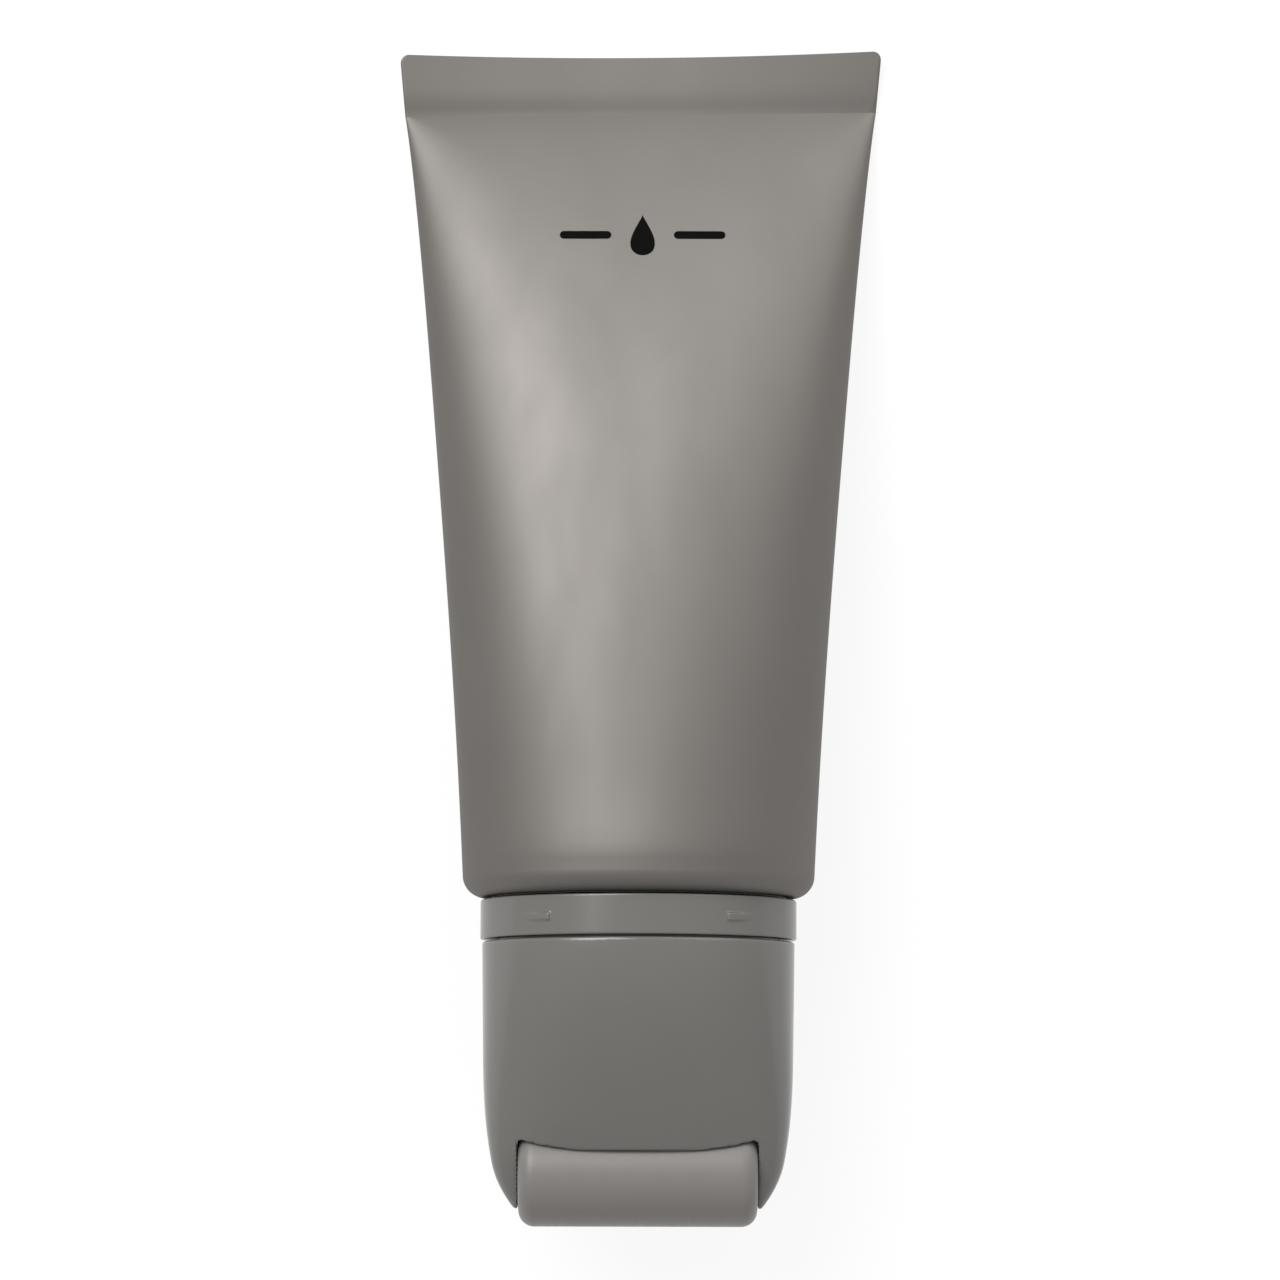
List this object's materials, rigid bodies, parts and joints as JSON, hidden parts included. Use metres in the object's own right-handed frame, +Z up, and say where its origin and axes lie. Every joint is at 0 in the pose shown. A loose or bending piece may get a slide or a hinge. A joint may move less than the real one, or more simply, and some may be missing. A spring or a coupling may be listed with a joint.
{
  "type": "squeeze tube with roller applicator",
  "caption": "Crimped oval plastic squeeze tube lying on its back, with an applicator head on its neck whose roller spreads shaving or skin cream.",
  "frame": {"origin": "centre of the footprint on the surface that the tube lies on", "axes": "+X across the tube, +Y along it towards the crimped end with the roller at -Y, +Z up out of its front face"},
  "size_m": [0.0628, 0.1496, 0.0349],
  "materials": {
    "tube_film": "satin pearl grey film with a soft broad sheen",
    "head_plastic": "satin moulded polypropylene, warm mid grey",
    "roller_coating": "satin, a little lighter than the head",
    "inner_plastic": "natural white moulded plastic",
    "cream": "soft white cream",
    "seal_rubber": "black elastomer",
    "valve_silicone": "translucent pale silicone",
    "axle_steel": "drawn stainless steel pin"
  },
  "bodies": {
    "tube": {"tube_sleeve": "tube_film", "tube_shoulder": "head_plastic", "cream_fill": "cream", "neck_gasket": "seal_rubber", "flow_plug": "inner_plastic", "slit_valve": "valve_silicone", "valve_retainer": "inner_plastic", "duct_seal_ring": "seal_rubber", "delivery_duct": "inner_plastic", "head_collar": "head_plastic", "head_housing": "head_plastic", "axle_bush_left": "head_plastic", "axle_bush_right": "head_plastic", "thrust_washer_left": "inner_plastic", "thrust_washer_right": "inner_plastic", "roller_axle": "axle_steel"},
    "roller": {"roller_shell": "roller_coating", "roller_hub_left": "inner_plastic", "roller_hub_right": "inner_plastic", "hub_spacer": "inner_plastic"}
  },
  "joints": [
    {"name": "roller_spin", "type": "hinge", "parent": "tube", "child": "roller", "pos_m": [0, -0.06821, 0.02339], "axis": [1, 0, 0], "continuous": true}
  ]
}
